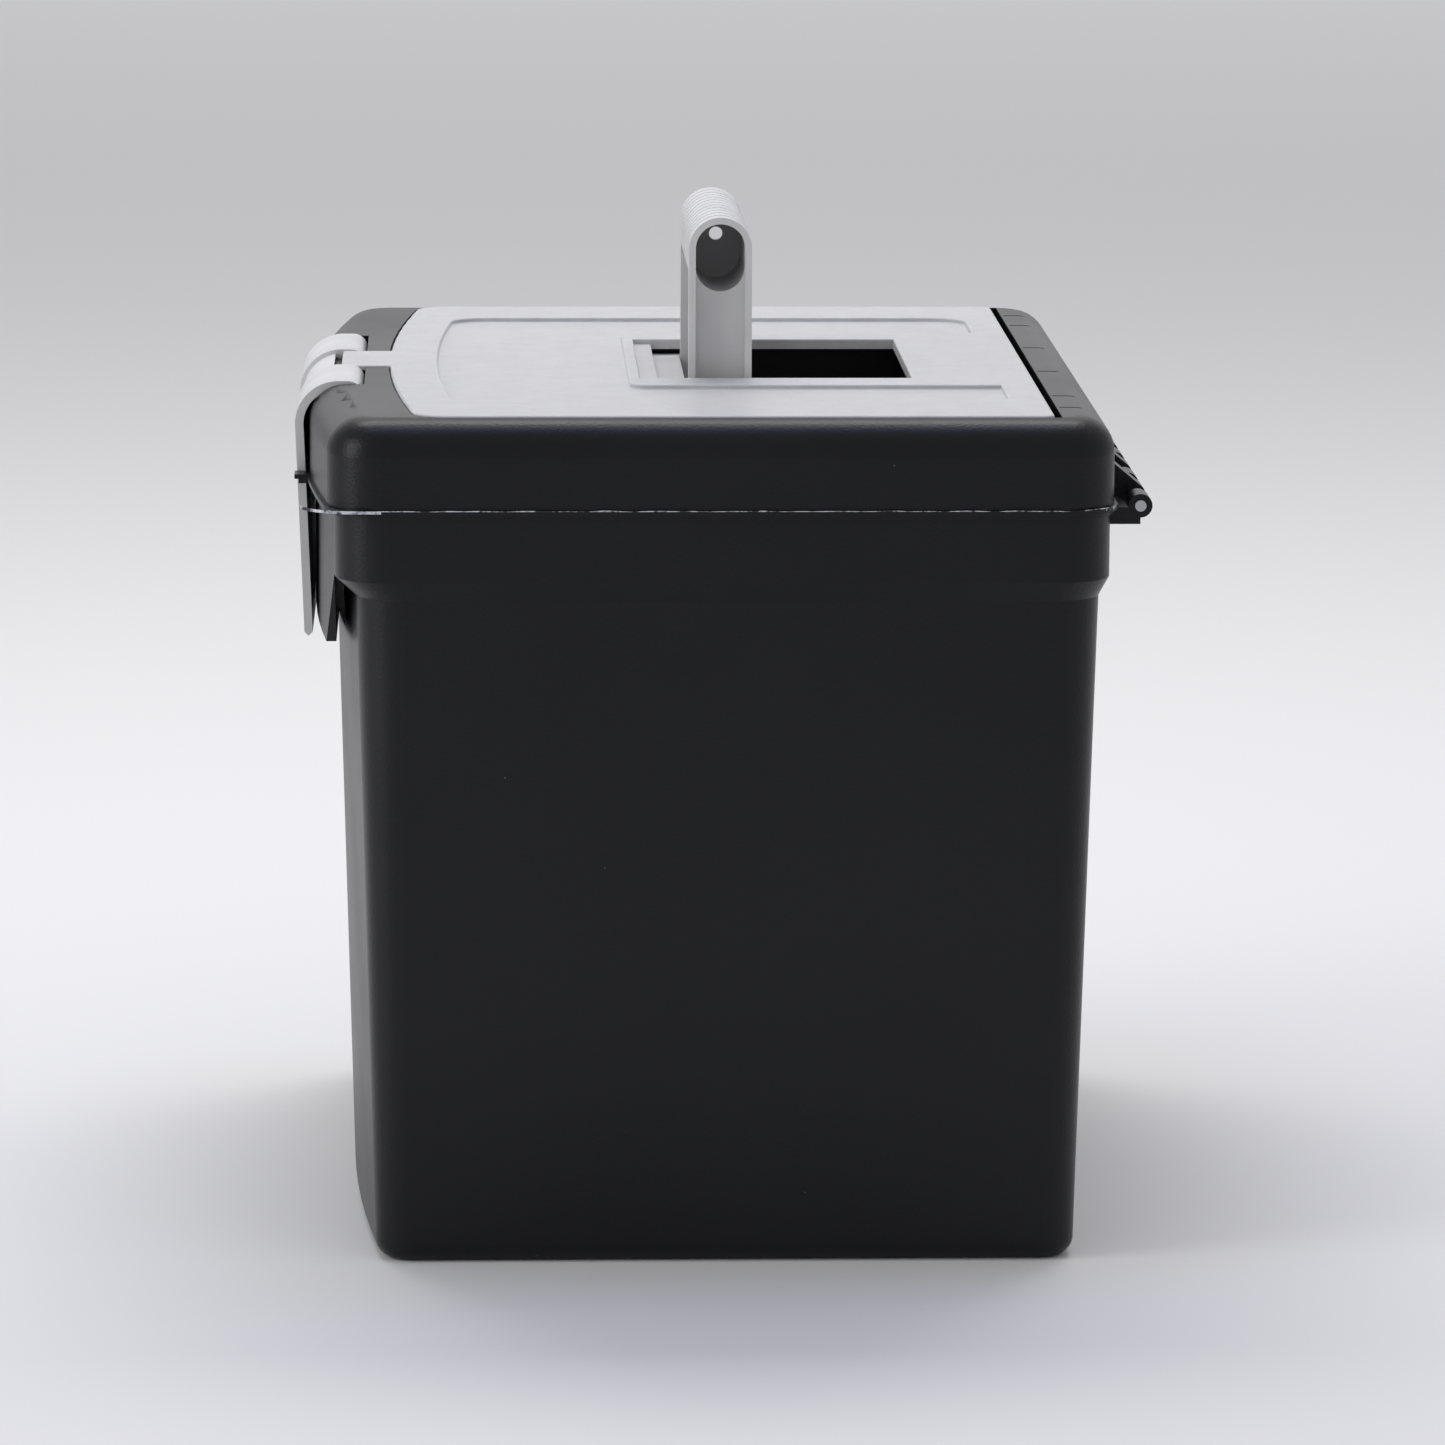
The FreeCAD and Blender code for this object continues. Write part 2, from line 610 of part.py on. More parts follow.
def make_lid():
    part = Piece("lid")
    wall = size.lid_wall
    lip = size.lid_lip_out
    ceiling = lid_top - wall
    part.pad("XY_Plane", joint, lid_top,
             (outline, lid_front, lid_back, size.half_width, size.lid_corner))
    part.fillet(size.lid_edge_round, at_level(lid_top))
    part.hollow(wall, joint)
    # fingers of the main hinge: one long gusset with an eye, cut into knuckles
    reach = size.knuckle_pitch * (OUTER_KNUCKLE - 1) + size.knuckle_width / 2
    part.pad("XZ_Plane", -reach, reach, (draw_finger, lid_back - wall / 2))
    part.pad("XZ_Plane", -reach, reach, (circle, axis_x, axis_z, size.hinge_eye))
    part.pocket("XY_Plane", joint - size.hinge_eye * 2, lid_top, *knuckle_gaps(OUTER_KNUCKLE - 1, lid_back))
    part.pad("XY_Plane", joint, joint + size.lid_lip_rise,
             (outline, lid_front - lip, lid_back + lip, size.half_width + lip, size.lid_corner + lip),
             (outline, lid_front + wall / 2, lid_back - wall / 2, size.half_width - wall / 2,
              size.lid_corner - wall / 2))
    part.pocket("XZ_Plane", -reach - wall, reach + wall,
                (circle, axis_x, axis_z, size.hinge_rod_radius + size.hinge_fit))
    # organiser tray, with the seat that the cover lies on
    depth = size.tray_wall
    part.pad("XY_Plane", tray_floor - depth, ceiling + wall / 2,
             (outline, tray_front - depth, tray_back + depth, tray_half + depth,
              size.tray_corner + depth))
    trough_front = cover_axis_x - size.cover_barrel_radius * 2
    trough_low = cover_axis_z - size.swing_room
    part.pad("XY_Plane", trough_low - depth, ceiling + wall / 2,
             (rectangle, trough_front - depth, tray_back + depth,
              -(seat_half + depth), seat_half + depth))
    part.pocket("XY_Plane", tray_floor, lid_top,
                (outline, tray_front, tray_back, tray_half, size.tray_corner))
    part.pocket("XY_Plane", seat_level, lid_top,
                (outline, seat_front, tray_back, seat_half, size.cover_corner + size.cover_gap))
    part.pocket("XY_Plane", seat_level, lid_top,
                (rectangle, cover_front - size.tongue_length - size.cover_gap,
                 cover_front + size.ledge_width, -size.channel_half, size.channel_half))
    # room for the cover's back edge to dip into as it opens
    part.pocket("XY_Plane", trough_low, lid_top,
                (rectangle, trough_front, tray_back, -seat_half, seat_half))
    # handle well: a box of walls inside the tray
    well = size.well_wall
    part.pad("XY_Plane", tray_floor - depth / 2, well_top,
             (rectangle, well_front - well, well_back + well, -(well_half + well), well_half + well),
             (rectangle, well_front, well_back, -well_half, well_half))
    # dividing ribs of the organiser, bearing blocks for the handle, posts for the cover's stub pins
    rib = size.rib_thick
    ribs = [(rectangle, tray_front - depth / 2, well_front - well / 2,
             middle - rib / 2, middle + rib / 2)
            for middle in (-size.front_rib_place, size.front_rib_place)]
    ribs += [(rectangle, size.side_rib_place - rib / 2, size.side_rib_place + rib / 2, low, high)
             for low, high in both_sides(well_half + well / 2, tray_half + depth / 2)]
    part.pad("XY_Plane", tray_floor - depth / 2, tray_floor + size.rib_rise, *ribs)
    part.pad("XY_Plane", tray_floor - depth / 2, bearing_top,
             *[(rectangle, pivot_x - size.bearing_half, pivot_x + size.bearing_half, low, high)
               for low, high in both_sides(bearing_in, bearing_out)])
    for post in (size.barrel_inner - size.post_gap - size.post_thick,
                 size.barrel_outer + size.post_gap):
        for low, high in both_sides(post, post + size.post_thick):
            part.pad("XZ_Plane", low, high, (draw_post,))
    slot_end = bearing_out + size.bearing_gap
    part.pocket("XZ_Plane", -slot_end, slot_end,
                (open_slot, pivot_x, pivot_z, size.handle_pin_radius + size.handle_fit,
                 bearing_top + size.well_wall))
    post_end = size.barrel_outer + size.post_gap * 2 + size.post_thick
    part.pocket("XZ_Plane", -post_end, post_end,
                (circle, cover_axis_x, cover_axis_z, size.cover_pin_radius + size.latch_fit))
    make_latch_mount(part)
    # ears above the bin's
    part.pad("XY_Plane", joint, joint + size.ear_thick,
             *[(rectangle, collar_front - size.ear_out, collar_front + size.collar_front_step,
                low, high) for low, high in both_sides(ear_inner, ear_inner + size.ear_width)])
    # shallow grooves across the strip behind the cover
    part.pocket("XY_Plane", lid_top - size.groove_depth, lid_top,
                *[(rectangle, tray_back + depth / 2, lid_back,
                   middle - size.groove_width / 2, middle + size.groove_width / 2)
                  for share in REAR_GROOVES
                  for middle in (-size.half_width * share, size.half_width * share)])
    return part


def draw_post(sketch):
    """Side view of a post for the cover's stub pins: round at the top, with a foot back to the wall."""
    radius = size.post_radius
    foot = tray_floor - size.tray_wall / 2
    shoulder = cover_axis_z - size.swing_room
    wall_in = tray_back + size.tray_wall / 2
    draw(sketch,
         (cover_axis_x - radius, foot),
         (wall_in, foot),
         (wall_in, shoulder),
         (cover_axis_x + radius - size.post_waist, shoulder),
         (cover_axis_x + radius, cover_axis_z, radius, 1),
         (cover_axis_x, cover_axis_z + radius, radius, 1),
         (cover_axis_x - radius, cover_axis_z))


def draw_finger(sketch, foot):
    """Side view of a lid hinge finger: a gusset on the lid's back face that runs down to the eye."""
    eye = size.hinge_eye
    draw(sketch,
         (foot, joint + size.lid_lip_rise / 2),
         (axis_x, axis_z - eye + size.rod_overhang),
         (axis_x + eye * FINGER_EDGE, axis_z + eye * FINGER_EDGE),
         (foot, joint + size.finger_rise))


def make_latch_mount(part):
    """Block under the lid's front edge that carries the latch pin, and the relief for the latch."""
    block_end = size.latch_half + size.mount_over
    block_low = lid_top - size.mount_drop
    block_back = latch_x + size.mount_depth / 2
    relief = size.latch_bend - size.latch_thick - size.latch_room
    part.pad("XY_Plane", block_low, bend_z + relief - size.mount_shell,
             (bowed_strip, lid_front + size.lid_wall + size.latch_room, block_back, block_end))
    arc = relief + size.latch_room
    arc_in = arc - size.mount_foot
    part.pad("XZ_Plane", -block_end, block_end,
             (draw, (bend_x - arc_in, block_low),
              (block_back, block_low),
              (block_back, bend_z + arc),
              (bend_x, bend_z + arc, arc, 1),
              (bend_x - arc_in, bend_z + (arc * arc - arc_in * arc_in).root())))
    relief_end = size.latch_half + size.latch_side_room
    relief_low = joint - size.lid_lip_rise
    relief_lean = size.latch_lean * (bend_z - relief_low) / (bend_z - tip_z)
    far_left = latch_face - size.latch_thick
    far_up = latch_top + size.latch_thick
    part.pocket("XZ_Plane", -relief_end, relief_end,
                (draw, (far_left, relief_low),
                 (bend_x - relief + relief_lean, relief_low),
                 (bend_x - relief, bend_z, relief, -1),
                 (bend_x, bend_z + relief),
                 (latch_x, bend_z + relief),
                 (latch_x, far_up),
                 (far_left, far_up)))
    for low, high in both_sides(size.channel_half - size.latch_room,
                                size.latch_half + size.latch_side_room):
        part.pocket("XZ_Plane", low, high,
                    (open_slot, latch_x, latch_z, prong_radius + size.latch_room, far_up))
    part.pocket("XZ_Plane", -block_end - size.latch_side_room, block_end + size.latch_side_room,
                (circle, latch_x, latch_z, size.latch_pin_radius + size.latch_fit))


def make_cover():
    part = Piece("cover")
    thick = size.cover_thick
    part.pad("XY_Plane", cover_low, cover_top,
             (outline, cover_front, cover_back, cover_half, size.cover_corner,
              size.cover_back_corner))
    part.pad("XY_Plane", cover_low, cover_top,
             (rectangle, cover_front - size.tongue_length, cover_front + size.tongue_length,
              -size.tongue_half, size.tongue_half))
    part.fillet(size.cover_edge_round, at_level(cover_top))
    part.pad("XY_Plane", panel_low, cover_low,
             (draw_panel, thick))
    part.pad("XY_Plane", skirt_low, cover_low,
             (rectangle, skirt_front, skirt_back, -skirt_half, skirt_half))
    part.pocket("XY_Plane", panel_floor, cover_top, (draw_panel, as_dim(0)))
    part.fillet(size.step_round, at_level(panel_floor))
    part.pocket("XY_Plane", dip_floor, cover_top,
                (rectangle, dip_front, opening_back, -opening_half, opening_half))
    part.pocket("XY_Plane", skirt_low, dip_floor,
                (rectangle, opening_front, opening_back, -opening_half, opening_half))
    part.fillet(size.step_round, inner_crest)
    # barrels of the hinge under the back edge, on a web each, and their stub pins
    barrel = size.cover_barrel_radius
    for low, high in both_sides(size.barrel_inner, size.barrel_outer):
        part.pad("XZ_Plane", low, high,
                 (rectangle, cover_axis_x - barrel, cover_axis_x + barrel,
                  cover_axis_z, cover_low + thick / 2))
        part.pad("XZ_Plane", low, high, (circle, cover_axis_x, cover_axis_z, barrel))
    for low, high in both_sides(size.barrel_inner - size.post_gap - size.post_thick,
                                size.barrel_outer + size.post_gap + size.post_thick):
        part.pad("XZ_Plane", low, high,
                 (circle, cover_axis_x, cover_axis_z, size.cover_pin_radius))
    return part


def draw_panel(sketch, grow):
    """Plan of the sunk panel, a C that wraps round the handle's frame, grown by a margin."""
    bow = size.bow_radius
    corner = size.panel_corner + grow
    turn = size.island_corner - grow
    front = cover_front + size.panel_front_inset - grow
    back = cover_back - size.panel_back_inset + grow
    half = cover_half - size.panel_side_inset + grow
    island_front = skirt_front - size.frame_front + grow
    island_half = opening_half + size.frame_margin - grow
    reach = ((bow - corner) * (bow - corner) - (half - corner) * (half - corner)).root()
    corner_x = front + bow - reach
    touch_x = front + bow - reach * bow / (bow - corner)
    touch_y = (half - corner) * bow / (bow - corner)
    draw(sketch,
         (corner_x, -half),
         (back - corner, -half, corner, 1),
         (back, -(half - corner)),
         (back, -island_half),
         (island_front + turn, -island_half, turn, -1),
         (island_front, -(island_half - turn)),
         (island_front, island_half - turn, turn, -1),
         (island_front + turn, island_half),
         (back, island_half),
         (back, half - corner, corner, 1),
         (back - corner, half),
         (corner_x, half, corner, 1),
         (touch_x, touch_y, bow, 1),
         (touch_x, -touch_y, corner, 1))


def inner_crest(edge):
    """The edges at the top of the cover that frame the panel and the well."""
    box = edge.BoundBox
    flat = abs(box.ZMin - cover_top.value) < 1e-4 and abs(box.ZMax - cover_top.value) < 1e-4
    margin = size.cover_corner.value / 2
    inside = box.XMin > cover_front.value + margin and box.XMax < cover_back.value - margin
    return flat and inside and abs(box.YMax) < cover_half.value - margin


def make_handle():
    part = Piece("handle")
    radius = size.grip_radius
    for low, high in both_sides(size.arm_inner, arm_outer):
        part.pad("XZ_Plane", low, high, (stadium, pivot_x, pivot_z, grip_z, radius))
    part.pad("XZ_Plane", -(size.arm_inner + size.arm_web), size.arm_inner + size.arm_web,
             (stadium, pivot_x, grip_z - size.grip_deep, grip_z, radius))
    # open channels down the outside of both arms
    for low, high in both_sides(size.arm_inner + size.arm_web, arm_outer):
        part.pocket("XZ_Plane", low, high,
                    (stadium, pivot_x, pivot_z, grip_z, radius - size.arm_rim))
    # the grip is cored from both ends, up to a thin web in its middle
    for low, high in both_sides(size.grip_middle_web / 2, size.arm_inner + size.arm_width):
        part.pocket("XZ_Plane", low, high,
                    (stadium, pivot_x, grip_z - size.grip_deep, grip_z, radius - size.grip_wall))
    part.pocket("XZ_Plane", -size.grip_middle_web, size.grip_middle_web,
                (circle, pivot_x, grip_z, size.grip_hole_radius))
    for low, high in both_sides(size.arm_inner + size.arm_web / 2, arm_outer + size.handle_pin_length):
        part.pad("XZ_Plane", low, high, (circle, pivot_x, pivot_z, size.handle_pin_radius))
    # rings round the grip for the fingers
    depth = size.groove_depth
    for number in range(GRIP_GROOVES):
        middle = size.groove_pitch * (number - (GRIP_GROOVES - 1) / 2)
        part.pocket("XZ_Plane", middle - size.groove_width / 2, middle + size.groove_width / 2,
                    (stadium, pivot_x, grip_z - size.grip_deep, grip_z, radius + depth),
                    (stadium, pivot_x, grip_z - size.grip_deep, grip_z, radius - depth))
    return part


def make_keeper():
    part = Piece("handle_keeper")
    plate_back = pivot_x - size.grip_radius - size.keeper_gap
    plate_front = plate_back - size.keeper_width
    low = bearing_top
    high = low + size.keeper_thick
    part.pad("XY_Plane", low, high,
             (rectangle, plate_front, plate_back, -bearing_out, bearing_out))
    for near, far in both_sides(bearing_in + size.keeper_side_gap, bearing_out):
        part.pad("XY_Plane", low, high,
                 (rectangle, plate_front, pivot_x + size.bearing_half, near, far))
    # legs that stand on the tray's floor
    leg = size.keeper_leg
    for near, far in both_sides(size.arm_inner - leg, size.arm_inner):
        part.pad("XY_Plane", tray_floor, low,
                 (rectangle, plate_front, plate_front + leg, near, far))
    return part


def make_latch():
    part = Piece("latch")
    half = size.latch_half
    thick = size.latch_thick
    bend = size.latch_bend
    lean = size.latch_lean
    part.pad("XZ_Plane", -half, half,
             (draw, (bend_x, latch_top, bend, 1),
              (latch_face, bend_z),
              (latch_face + lean, tip_z + size.latch_tip),
              (latch_face + lean + size.latch_tip, tip_z),
              (latch_back + lean, tip_z + size.latch_tip),
              (latch_back, bend_z, bend - thick, -1),
              (bend_x, latch_top - thick)))
    # two prongs that reach back to the pin
    for low, high in both_sides(size.channel_half, half):
        part.pad("XZ_Plane", low, high,
                 (rectangle, bend_x - size.prong_root, latch_x, latch_z, latch_top))
        part.pad("XZ_Plane", low, high, (circle, latch_x, latch_z, prong_radius))
    # the sunk channel down the middle
    sink = size.channel_sink
    out = bend + thick
    part.pocket("XZ_Plane", -size.channel_half, size.channel_half,
                (draw, (bend_x + thick, bend_z + out),
                 (bend_x, bend_z + out, out, 1),
                 (bend_x - out, bend_z),
                 (bend_x - out + lean, lid_top - size.channel_low),
                 (latch_face + sink + lean, lid_top - size.channel_low),
                 (latch_face + sink, bend_z, bend - sink, -1),
                 (bend_x, latch_top - sink),
                 (bend_x + thick, latch_top - sink)))
    # between the prongs the strap ends short of the cover's tongue
    part.pocket("XZ_Plane", -size.channel_half, size.channel_half,
                (rectangle, latch_x - size.heel_cut, latch_x, latch_z, latch_top + thick))
    part.pocket("XZ_Plane", -half - thick, half + thick,
                (circle, latch_x, latch_z, size.latch_pin_radius + size.latch_fit))
    # the hook that catches under the bin's ridge
    hook_top = lid_top - size.hook_drop
    part.pad("XY_Plane", hook_top - size.hook_rise, hook_top,
             (rectangle, latch_face + thick / 2 + lean / 2, collar_front - size.ridge_out
              + size.hook_bite, -size.hook_half, size.hook_half))
    return part


def make_rod(label, x, z, radius, low, high):
    """A plain rod along Y."""
    rod = doc.addObject("Part::Cylinder", label)
    rod.Label = label
    rod.Placement = Placement(Vector(x.value, low.value, z.value), Rotation(Vector(1, 0, 0), -90))
    for name, value in (("Radius", radius), ("Height", high - low), ("Placement.Base.x", x),
                        ("Placement.Base.y", low), ("Placement.Base.z", z)):
        rod.setExpression(name, value.text)
    return rod


def make_rail(label, side):
    """A hanging rail: a flange on the bin's ribs and the upright edge that folder hooks sit over."""
    part = Piece(label)
    inner = size.rail_place - size.rail_thick / 2
    upright = size.rail_place + size.rail_thick / 2
    wall_side = collar_half - size.bin_wall - size.rail_gap
    low = collar_low
    flange = low + size.rail_thick
    top = low + size.rail_rise
    corners = [(inner, low), (wall_side, low), (wall_side, flange), (upright, flange),
               (upright, top), (inner, top)]
    if side < 0:
        corners = [(-y, z) for y, z in reversed(corners)]
    part.pad("YZ_Plane", -size.rail_half_length, size.rail_half_length, (draw, *corners))
    return part


rod_end = size.knuckle_pitch * OUTER_KNUCKLE + size.knuckle_width / 2 + size.rod_overhang
rod_start = size.rod_middle_gap / 2
pin_end = size.latch_half + size.mount_over - size.latch_side_room

nodes = [
    make_bin().body,
    make_lid().body,
    make_cover().body,
    make_handle().body,
    make_keeper().body,
    make_latch().body,
    make_rod("latch_pin", latch_x, latch_z, size.latch_pin_radius, -pin_end, pin_end),
    make_rod("hinge_pin_near", axis_x, axis_z, size.hinge_rod_radius, -rod_end, -rod_start),
    make_rod("hinge_pin_far", axis_x, axis_z, size.hinge_rod_radius, rod_start, rod_end),
    make_rail("file_rail_near", -1).body,
    make_rail("file_rail_far", 1).body,
]
doc.recompute()


# ---------------------------------------------------------------- checks, then the files
def check_model():
    """Stop on a failed feature, a pad or pocket that changed nothing, or a piece that isn't one solid."""
    for thing in doc.Objects:
        if "Invalid" in thing.State or "Error" in thing.State:
            raise RuntimeError("%s failed: %s" % (thing.Name, thing.State))
    for node in nodes:
        volume = 0.0
        for feature in getattr(node, "Group", []):
            if not feature.isDerivedFrom("PartDesign::Feature"):
                continue
            change = feature.Shape.Volume - volume
            if abs(change) < 0.05:
                raise RuntimeError("%s in %s changed nothing" % (feature.Name, node.Label))
            if ("Pocket" in feature.TypeId or "Subtractive" in feature.TypeId) and change > 0:
                raise RuntimeError("%s in %s added material" % (feature.Name, node.Label))
            volume = feature.Shape.Volume
        shape = node.Shape
        if shape.isNull() or not shape.isValid() or len(shape.Solids) != 1:
            raise RuntimeError("%s is not one valid solid (%d)" % (node.Label, len(shape.Solids)))


check_model()
os.makedirs("parts", exist_ok=True)
for node in nodes:
    node.Shape.exportStep("parts/%s.step" % node.Label)
    box = node.Shape.BoundBox
    print("%-16s X %7.2f %7.2f  Y %7.2f %7.2f  Z %7.2f %7.2f  volume %9.0f" % (
        node.Label, box.XMin, box.XMax, box.YMin, box.YMax, box.ZMin, box.ZMax, node.Shape.Volume))
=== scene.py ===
# Portable hanging-folder box: materials, small moulded details, light and camera round the CAD frame.
import json
import math
import random
import bmesh
import bpy
from mathutils import Euler, Matrix, Vector, noise


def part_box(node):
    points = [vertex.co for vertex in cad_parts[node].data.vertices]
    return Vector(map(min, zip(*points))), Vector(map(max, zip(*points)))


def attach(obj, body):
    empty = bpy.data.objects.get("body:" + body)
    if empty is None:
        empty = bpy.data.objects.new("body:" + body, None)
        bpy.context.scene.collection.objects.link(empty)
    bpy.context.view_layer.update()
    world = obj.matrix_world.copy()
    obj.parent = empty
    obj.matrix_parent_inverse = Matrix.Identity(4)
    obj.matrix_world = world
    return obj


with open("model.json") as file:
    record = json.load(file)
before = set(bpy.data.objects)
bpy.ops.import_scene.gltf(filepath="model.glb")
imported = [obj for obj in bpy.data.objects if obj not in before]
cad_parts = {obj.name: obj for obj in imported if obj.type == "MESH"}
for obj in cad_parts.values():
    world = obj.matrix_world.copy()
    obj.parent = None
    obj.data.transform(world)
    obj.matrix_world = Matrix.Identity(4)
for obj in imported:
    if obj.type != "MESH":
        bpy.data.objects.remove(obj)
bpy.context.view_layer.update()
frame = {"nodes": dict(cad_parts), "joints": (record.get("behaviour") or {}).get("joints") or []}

MM = 0.001


# ---------------------------------------------------------------- colours and nodes
def linear(hex_colour):
    """Turn an sRGB hex colour such as #808080 into the linear RGBA that shaders take."""
    channels = [int(hex_colour[n:n + 2], 16) / 255 for n in (1, 3, 5)]
    curve = [c / 12.92 if c <= 0.04045 else ((c + 0.055) / 1.055) ** 2.4 for c in channels]
    return (*curve, 1.0)


def add_node(material, kind, settings=None, links=None):
    """Add one node. Settings with a name the node has are set on it, others on its input sockets.
    Links give, for an input socket, the output socket that feeds it."""
    node = material.node_tree.nodes.new(kind)
    for name, value in (settings or {}).items():
        if isinstance(name, str) and hasattr(node, name):
            setattr(node, name, value)
        else:
            node.inputs[name].default_value = value
    for name, output in (links or {}).items():
        material.node_tree.links.new(output, node.inputs[name])
    return node


def new_material(name, **shader):
    """A material whose principled shader has the given constant values on its own sockets."""
    material = bpy.data.materials.new(name)
    material.use_nodes = True
    surface = material.node_tree.nodes["Principled BSDF"]
    for socket, value in shader.items():
        surface.inputs[socket.replace("_", " ")].default_value = value
    return material, surface


def ramp_stops(node, *stops):
    """Set a colour ramp's stops from (place, colour) pairs."""
    elements = node.color_ramp.elements
    while len(elements) < len(stops):
        elements.new(0.5)
    for element, (place, colour) in zip(elements, stops):
        element.position = place
        element.color = colour


# ---------------------------------------------------------------- materials
def black_polypropylene():
    """Black polypropylene, moulded in a spark-eroded tool: the grain breaks each highlight into small
    cool specks, and handling leaves faint dull patches and a few pale dust specks."""
    material, surface = new_material("black_polypropylene", Roughness=0.4, IOR=1.49)
    surface.inputs["Specular IOR Level"].default_value = 0.3
    place = add_node(material, "ShaderNodeNewGeometry").outputs["Position"]
    # the grain is drawn at 1.3 mm, twice the real one, so that it shows
    grain = add_node(material, "ShaderNodeTexNoise",
                     {"Scale": 1 / (1.3 * MM), "Detail": 2.0, "Roughness": 0.6}, {"Vector": place})
    pits = add_node(material, "ShaderNodeTexVoronoi", {"Scale": 1 / (1.1 * MM)}, {"Vector": place})
    relief = add_node(material, "ShaderNodeMath", {"operation": "MULTIPLY"},
                      {0: grain.outputs["Fac"], 1: pits.outputs["Distance"]})
    bump = add_node(material, "ShaderNodeBump", {"Strength": 0.55, "Distance": 0.15 * MM},
                    {"Height": relief.outputs["Value"]})
    patches = add_node(material, "ShaderNodeTexNoise",
                       {"Scale": 1 / (70 * MM), "Detail": 3.0, "Roughness": 0.6}, {"Vector": place})
    dullness = add_node(material, "ShaderNodeMapRange", {"To Min": 0.30, "To Max": 0.41},
                        {"Value": patches.outputs["Fac"]})
    tint = add_node(material, "ShaderNodeValToRGB", None, {"Fac": patches.outputs["Fac"]})
    ramp_stops(tint, (0.35, linear("#08090c")), (0.65, linear("#0c0d11")))
    specks = add_node(material, "ShaderNodeTexVoronoi", {"Scale": 1 / (24 * MM)}, {"Vector": place})
    dust = add_node(material, "ShaderNodeMath", {"operation": "LESS_THAN", 1: 0.012},
                    {0: specks.outputs["Distance"]})
    colour = add_node(material, "ShaderNodeMix", {"data_type": "RGBA"}, {"Factor": dust.outputs["Value"]})
    links = material.node_tree.links
    links.new(tint.outputs["Color"], colour.inputs[6])
    colour.inputs[7].default_value = linear("#55555c")
    links.new(colour.outputs[2], surface.inputs["Base Color"])
    links.new(dullness.outputs["Result"], surface.inputs["Roughness"])
    links.new(bump.outputs["Normal"], surface.inputs["Normal"])
    return material


def frosted_polypropylene():
    """Natural polypropylene with a frosted face: milky, lets a little light through, soft gloss."""
    material, surface = new_material("frosted_polypropylene", IOR=1.49, Roughness=0.42)
    surface.inputs["Specular IOR Level"].default_value = 0.3
    surface.inputs["Subsurface Weight"].default_value = 0.6
    surface.inputs["Subsurface Radius"].default_value = (0.005, 0.005, 0.005)
    surface.inputs["Transmission Weight"].default_value = 0.1
    place = add_node(material, "ShaderNodeNewGeometry").outputs["Position"]
    cloud = add_node(material, "ShaderNodeTexNoise",
                     {"Scale": 1 / (9 * MM), "Detail": 4.0, "Roughness": 0.65}, {"Vector": place})
    tint = add_node(material, "ShaderNodeValToRGB", None, {"Fac": cloud.outputs["Fac"]})
    ramp_stops(tint, (0.3, linear("#c9c9c9")), (0.7, linear("#d3d3d3")))
    frost = add_node(material, "ShaderNodeTexNoise",
                     {"Scale": 1 / (1.2 * MM), "Detail": 2.0, "Roughness": 0.6}, {"Vector": place})
    bump = add_node(material, "ShaderNodeBump", {"Strength": 0.25, "Distance": 0.08 * MM},
                    {"Height": frost.outputs["Fac"]})
    links = material.node_tree.links
    links.new(tint.outputs["Color"], surface.inputs["Base Color"])
    links.new(bump.outputs["Normal"], surface.inputs["Normal"])
    return material


def grey_polypropylene():
    """Light grey polypropylene, satin from the tool: even colour with faint flow clouds."""
    material, surface = new_material("grey_polypropylene", IOR=1.49, Roughness=0.42)
    surface.inputs["Specular IOR Level"].default_value = 0.35
    place = add_node(material, "ShaderNodeNewGeometry").outputs["Position"]
    flow = add_node(material, "ShaderNodeTexNoise",
                    {"Scale": 1 / (18 * MM), "Detail": 3.0, "Roughness": 0.5}, {"Vector": place})
    tint = add_node(material, "ShaderNodeValToRGB", None, {"Fac": flow.outputs["Fac"]})
    ramp_stops(tint, (0.3, linear("#cfcfcf")), (0.7, linear("#d9d9d9")))
    grain = add_node(material, "ShaderNodeTexNoise",
                     {"Scale": 1 / (0.8 * MM), "Detail": 2.0}, {"Vector": place})
    bump = add_node(material, "ShaderNodeBump", {"Strength": 0.2, "Distance": 0.08 * MM},
                    {"Height": grain.outputs["Fac"]})
    links = material.node_tree.links
    links.new(tint.outputs["Color"], surface.inputs["Base Color"])
    links.new(bump.outputs["Normal"], surface.inputs["Normal"])
    return material


def flash_with_painted_glint():
    """The thin torn edge that the tool's parting line leaves on black polypropylene, coloured with a
    painted highlight: noise breaks it between near-black and a pale lavender thread that stands in for
    light glinting along it."""
    material, surface = new_material("flash_with_painted_glint", IOR=1.49, Roughness=0.5)
    place = add_node(material, "ShaderNodeNewGeometry").outputs["Position"]
    glint_breaks = add_node(material, "ShaderNodeTexNoise",
                     {"Scale": 1 / (6 * MM), "Detail": 3.0, "Roughness": 0.7}, {"Vector": place})
    tint = add_node(material, "ShaderNodeValToRGB", None, {"Fac": glint_breaks.outputs["Fac"]})
    # painted highlight: where the noise is high the fin turns pale lavender, standing in for light
    # glinting along the lip
    ramp_stops(tint, (0.42, linear("#2c2c34")), (0.56, linear("#d0cfdc")))
    material.node_tree.links.new(tint.outputs["Color"], surface.inputs["Base Color"])
    return material


